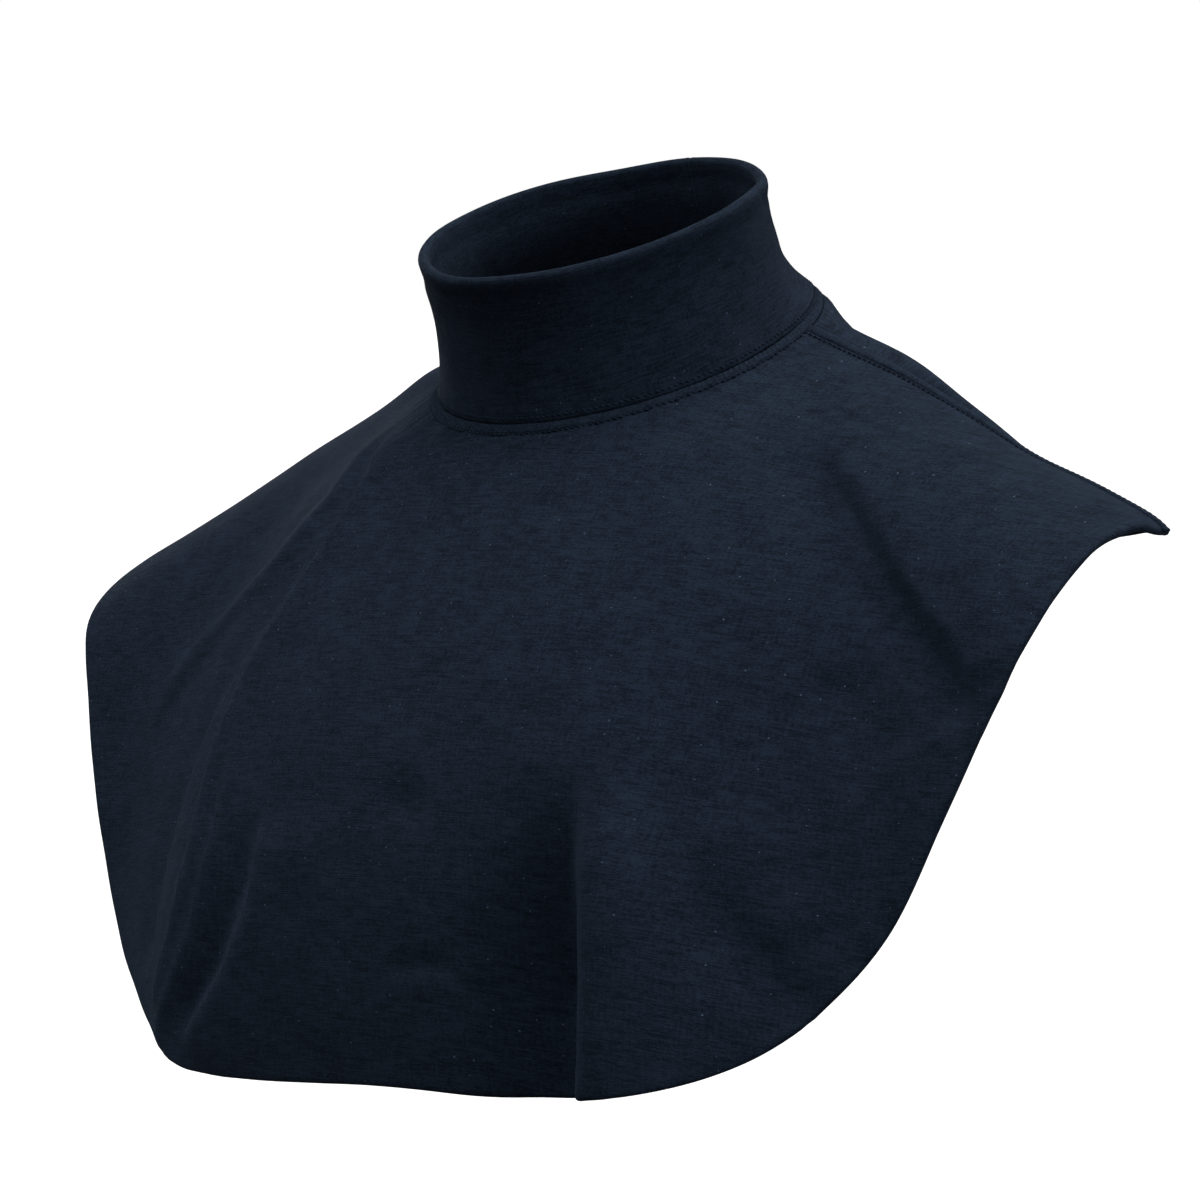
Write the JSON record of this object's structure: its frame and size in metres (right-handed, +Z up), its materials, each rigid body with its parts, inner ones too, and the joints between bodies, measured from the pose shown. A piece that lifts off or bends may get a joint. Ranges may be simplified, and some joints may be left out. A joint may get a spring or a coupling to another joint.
{
  "type": "turtleneck dickey",
  "caption": "Sleeveless knit dickey with a folded turtleneck collar, a bib-shaped front and a short back, worn under a jacket or shirt to cover the neck and chest.",
  "frame": {"origin": "middle of the neck opening, at the seam between the collar and the panels", "axes": "+Z up, the front of the garment faces -Y, +X is the wearer's left"},
  "size_m": [0.4624, 0.2792, 0.3211],
  "materials": {
    "collar_knit": "dark navy fine knit, two plies, matt",
    "panel_knit": "dark navy fine knit with faint slub, matt",
    "seam_knit": "dark navy knit, raised and topstitched"
  },
  "bodies": {
    "root": {"collar_band": "collar_knit", "front_panel": "panel_knit", "back_panel": "panel_knit", "neck_seam": "seam_knit", "shoulder_seam_left": "seam_knit", "shoulder_seam_right": "seam_knit", "front_hem": "panel_knit", "back_hem": "panel_knit"}
  },
  "joints": []
}
